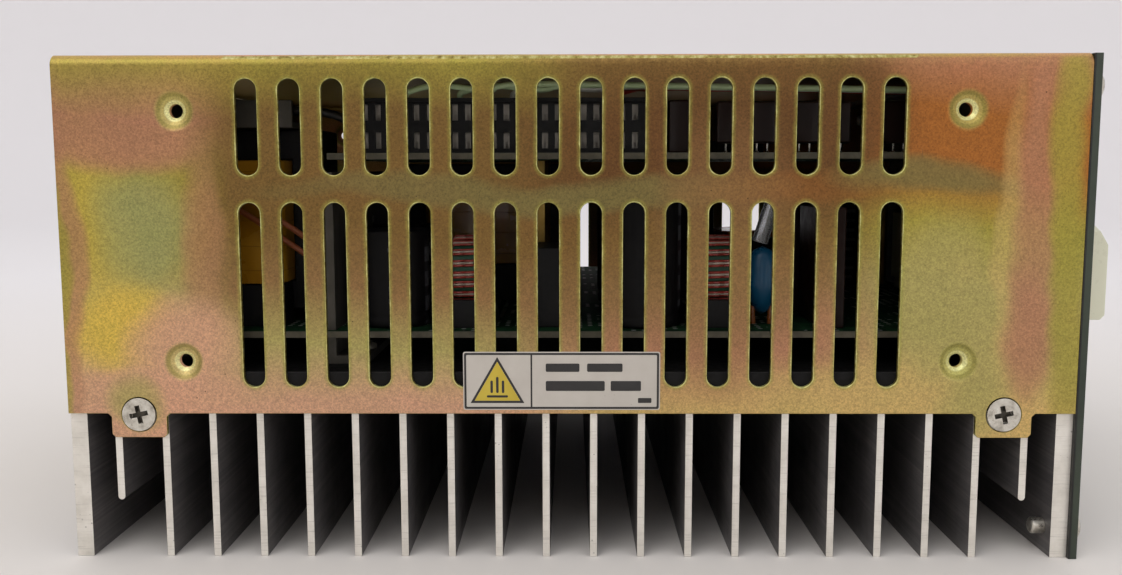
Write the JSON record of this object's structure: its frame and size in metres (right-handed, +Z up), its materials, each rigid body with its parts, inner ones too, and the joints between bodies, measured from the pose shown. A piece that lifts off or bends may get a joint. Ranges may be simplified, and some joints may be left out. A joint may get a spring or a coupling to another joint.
{
  "type": "enclosed switching power supply",
  "caption": "Boxed switching power supply on a finned heatsink, with a slotted folded cover, a flat front panel and a hinged cover over its terminals.",
  "frame": {"origin": "centre of the footprint, on the plane the heatsink feet stand on", "axes": "+X to the front panel, -Y to the near slotted wall, +Z up"},
  "size_m": [0.2556, 0.1906, 0.12],
  "materials": {
    "bare_aluminium": "satin",
    "black_anodised": "satin",
    "black_plastic": "moulded",
    "black_sleeve": "shrink sleeve",
    "blue_epoxy": "dipped",
    "blue_plastic": "moulded",
    "board_green": "solder mask",
    "brass": "plated",
    "bright_screw": "plated",
    "brown_epoxy": "dipped",
    "clear_sleeve": "clear tube",
    "copper_enamel": "enamelled wire",
    "ferrite": "matte",
    "fuse_glass": "clear",
    "green_core": "coated core",
    "green_lens": "lens",
    "green_wire": "insulation",
    "grey_pad": "matte",
    "ivory_plastic": "moulded",
    "label_film": "printed film",
    "orange_wire": "insulation",
    "panel_paint": "fine texture",
    "red_wire": "enamelled wire",
    "tin": "tinned",
    "white_plastic": "moulded",
    "yellow_chromate": "iridescent zinc plate",
    "yellow_tape": "tape"
  },
  "bodies": {
    "case": {"heatsink": "black_anodised", "cover": "yellow_chromate", "cover_screws": "bright_screw", "rear_panel": "yellow_chromate", "rear_panel_screws": "bright_screw", "front_panel": "panel_paint", "front_panel_screws": "bright_screw", "panel_bracket": "bare_aluminium", "bracket_screws": "bright_screw", "caution_label": "label_film", "power_board": "board_green", "low_standoffs": "brass", "high_standoffs": "brass", "control_board": "board_green", "board_screws": "bright_screw", "transformer_core": "ferrite", "transformer_winding": "yellow_tape", "transformer_bobbin": "black_plastic", "transformer_clamp": "bare_aluminium", "main_core": "ferrite", "main_winding": "yellow_tape", "main_bobbin": "black_plastic", "heat_spreader": "bare_aluminium", "power_transistors": "black_plastic", "transistor_screws": "bright_screw", "insulating_pads": "grey_pad", "far_spreader": "bare_aluminium", "output_rectifiers": "black_plastic", "bridge_rectifier": "black_plastic", "big_capacitors": "black_sleeve", "main_capacitors": "black_sleeve", "small_capacitors": "black_sleeve", "blue_capacitor": "blue_epoxy", "capacitor_sleeve": "clear_sleeve", "film_capacitors": "brown_epoxy", "line_choke": "ferrite", "choke_winding": "copper_enamel", "toroid_cores": "green_core", "toroid_windings": "red_wire", "toroid_holders": "black_plastic", "fuse": "fuse_glass", "fuse_clips": "tin", "relay": "black_plastic", "pin_header": "black_plastic", "header_contacts": "tin", "control_modules": "brown_epoxy", "control_chips": "black_plastic", "signal_wires": "green_wire", "power_wires": "orange_wire", "terminal_block": "ivory_plastic", "terminal_plates": "tin", "terminal_screws": "bright_screw", "trimmer_body": "blue_plastic", "status_lamp": "green_lens"},
    "terminal_flap": {"terminal_cover": "ivory_plastic"},
    "adjuster": {"trimmer_rotor": "white_plastic"}
  },
  "joints": [
    {"name": "terminal_flap_hinge", "type": "hinge", "parent": "case", "child": "terminal_flap", "pos_m": [0.1185, -0.0284, 0.0774], "axis": [0, -1, 0], "range_deg": [0, 100]},
    {"name": "voltage_adjust", "type": "hinge", "parent": "case", "child": "adjuster", "pos_m": [0.1102, -0.057, 0.10225], "axis": [1, 0, 0], "range_deg": [-135, 135]}
  ]
}
